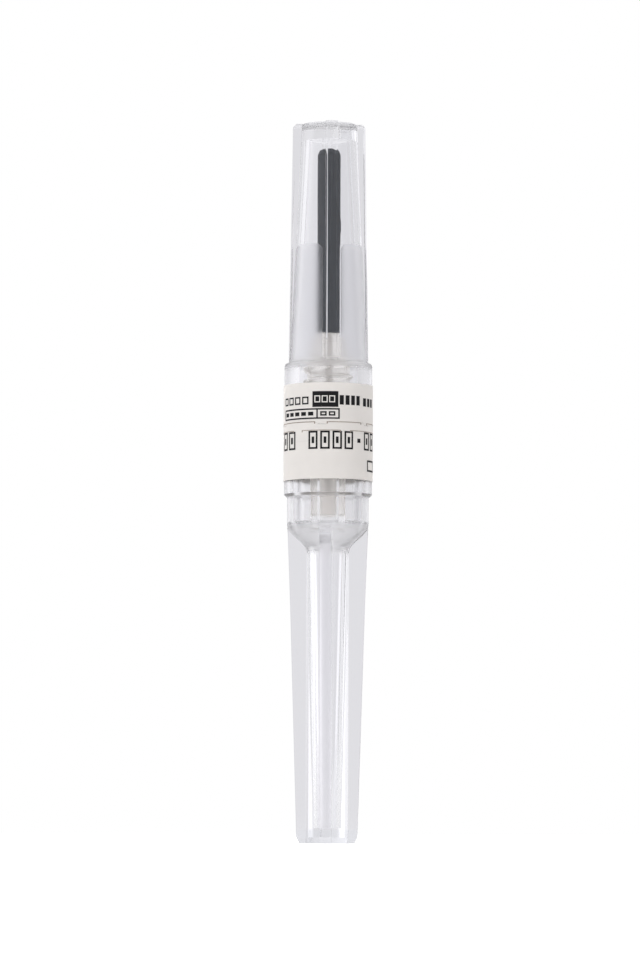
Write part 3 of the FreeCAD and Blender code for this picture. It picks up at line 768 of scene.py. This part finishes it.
def makeWorld():
    look = studio
    world = bpy.data.worlds.new("studio")
    bpy.context.scene.world = world
    world.use_nodes = True
    tree = world.node_tree
    tree.nodes.clear()
    direction = put(tree, "ShaderNodeTexCoord").outputs["Generated"]
    parts = put(tree, "ShaderNodeSeparateXYZ", {"Vector": direction})
    around = calc(tree, "ARCTAN2", parts.outputs["X"], calc(tree, "MULTIPLY", parts.outputs["Y"], -1.0))
    degrees = calc(tree, "MULTIPLY_ADD", around, 180.0 / math.pi, 360.0 - look["turn"])
    folded = calc(tree, "PINGPONG", degrees, 45.0)  # 0 straight on to a side, 45 at a corner
    tones = {}  # what the clear plastic and the steel see, by the side that a ray comes from
    for name in ("straight", "beside", "corner"):
        stops = [(height, [level * part for part in look["cast"]]) for height, level in look[name]]
        tones[name] = ramp(tree, parts.outputs["Z"], stops)
    lit = tones["straight"]
    for name in ("beside", "corner"):
        low, high = look[name + "From"]
        share = put(
            tree, "ShaderNodeMapRange", {"Value": folded, "From Min": low, "From Max": high},
            interpolation_type="SMOOTHSTEP",
        )
        lit = blendColours(tree, share.outputs["Result"], lit, tones[name])
    side = calc(tree, "MULTIPLY_ADD", parts.outputs["X"], -look["leftLift"], 1.0)
    camera = put(tree, "ShaderNodeLightPath").outputs["Is Camera Ray"]
    seen = blendColours(tree, camera, lit, (1.0, 1.0, 1.0, 1.0))
    strength = put(tree, "ShaderNodeMix", {0: camera, 2: side, 3: 1.0}, data_type="FLOAT")
    background = put(tree, "ShaderNodeBackground", {"Color": seen, "Strength": strength.outputs[0]})
    output = put(tree, "ShaderNodeOutputWorld")
    tree.links.new(background.outputs[0], output.inputs["Surface"])


softboxes = {
    "distance": 900.0,  # level distance from the axis
    "height": 300.0,
    "width": 0.36,  # metres, as the next
    "tall": 0.6,
    "aim": 44.0,  # half way up the part
    "power": 1.5,
    "share": (1.5, 1.0, 1.0, 0.72),  # from the left front one round to the right front one
}


def addSoftboxes():
    look = softboxes
    for index, share in enumerate(look["share"]):
        data = bpy.data.lights.new(f"softbox{index}", "AREA")
        data.shape = "RECTANGLE"
        data.size, data.size_y = look["width"], look["tall"]
        data.energy = look["power"] * share
        lamp = bpy.data.objects.new(data.name, data)
        bpy.context.scene.collection.objects.link(lamp)
        turn = math.radians(studio["turn"] - 45.0 - 90.0 * index)
        aside = Vector((math.sin(turn), -math.cos(turn), 0.0)) * look["distance"]
        lamp.location = (aside + Vector((0, 0, look["height"]))) * mm
        towards = Vector((0, 0, look["aim"] * mm)) - lamp.location
        lamp.rotation_euler = towards.to_track_quat("-Z", "Y").to_euler()
        lamp.visible_glossy = lamp.visible_transmission = False


def makeFloor():
    look = studio
    mesh = bmesh.new()
    bmesh.ops.create_circle(mesh, cap_ends=True, segments=96, radius=look["floorRadius"])
    data = bpy.data.meshes.new("floor")
    mesh.to_mesh(data)
    mesh.free()
    floor = bpy.data.objects.new("floor", data)
    floor.location.z = cadBox[0].z - look["floorDrop"] * mm
    bpy.context.scene.collection.objects.link(floor)
    material, tree, shader = newMaterial("floorWhite")
    rays = put(tree, "ShaderNodeLightPath")
    through = calc(tree, "MAXIMUM", rays.outputs["Is Glossy Ray"], rays.outputs["Is Transmission Ray"])
    share = calc(tree, "MULTIPLY", through, look["glassShare"])
    seen = calc(tree, "MAXIMUM", share, rays.outputs["Is Camera Ray"])
    paintedGlow = calc(tree, "MULTIPLY", seen, look["floorGlow"])
    feed(tree, shader.inputs["Base Color"], look["floorColour"])
    feed(tree, shader.inputs["Roughness"], 0.9)
    feed(tree, shader.inputs["Specular IOR Level"], 0.0)
    feed(tree, shader.inputs["Emission Color"], (1.0, 1.0, 1.0, 1.0))
    feed(tree, shader.inputs["Emission Strength"], paintedGlow)
    data.materials.append(material)


makeWorld()
addSoftboxes()
makeFloor()
print("studio lit")


# Camera: long lens, low and looking slightly up, as in the photograph.

cameraView = {
    "focalPixels": 4620.0,
    "frameHeight": 964.0,
    "sensor": 36.0,
    "distance": 563.1,  # level distance from the axis
    "height": 1.5,
    "azimuth": 3.8,
    "tilt": 4.318,
    "sidestep": 0.98,  # to the camera's left
    "roll": 0.2,
    "near": 0.01,  # metres, as the next
    "far": 10.0,
}


def makeCamera():
    look = cameraView
    data = bpy.data.cameras.new("camera")
    data.lens = look["focalPixels"] / look["frameHeight"] * look["sensor"]
    data.sensor_width = look["sensor"]
    data.clip_start, data.clip_end = look["near"], look["far"]
    camera = bpy.data.objects.new("camera", data)
    bpy.context.scene.collection.objects.link(camera)
    bpy.context.scene.camera = camera
    turn, tilt, roll = (math.radians(look[key]) for key in ("azimuth", "tilt", "roll"))
    right = Vector((math.cos(turn), math.sin(turn), 0.0))
    level = Vector((-math.sin(turn), math.cos(turn), 0.0))
    ahead = level * math.cos(tilt) + Vector((0.0, 0.0, math.sin(tilt)))
    up = right.cross(ahead)
    rolledRight = right * math.cos(roll) + up * math.sin(roll)
    rolledUp = rolledRight.cross(ahead)
    spot = -level * look["distance"] - right * look["sidestep"] + Vector((0, 0, look["height"]))
    matrix = Matrix((rolledRight, rolledUp, -ahead)).transposed().to_4x4()
    matrix.translation = spot * mm
    camera.matrix_world = matrix


lightBounces = {"all": 32, "through": 32, "gloss": 12}  # the caps and the hub lie in many layers


def setView():
    scene = bpy.context.scene
    scene.view_settings.view_transform = "Standard"
    scene.cycles.max_bounces = lightBounces["all"]
    scene.cycles.transmission_bounces = lightBounces["through"]
    scene.cycles.glossy_bounces = lightBounces["gloss"]


makeCamera()
setView()
print("camera placed")
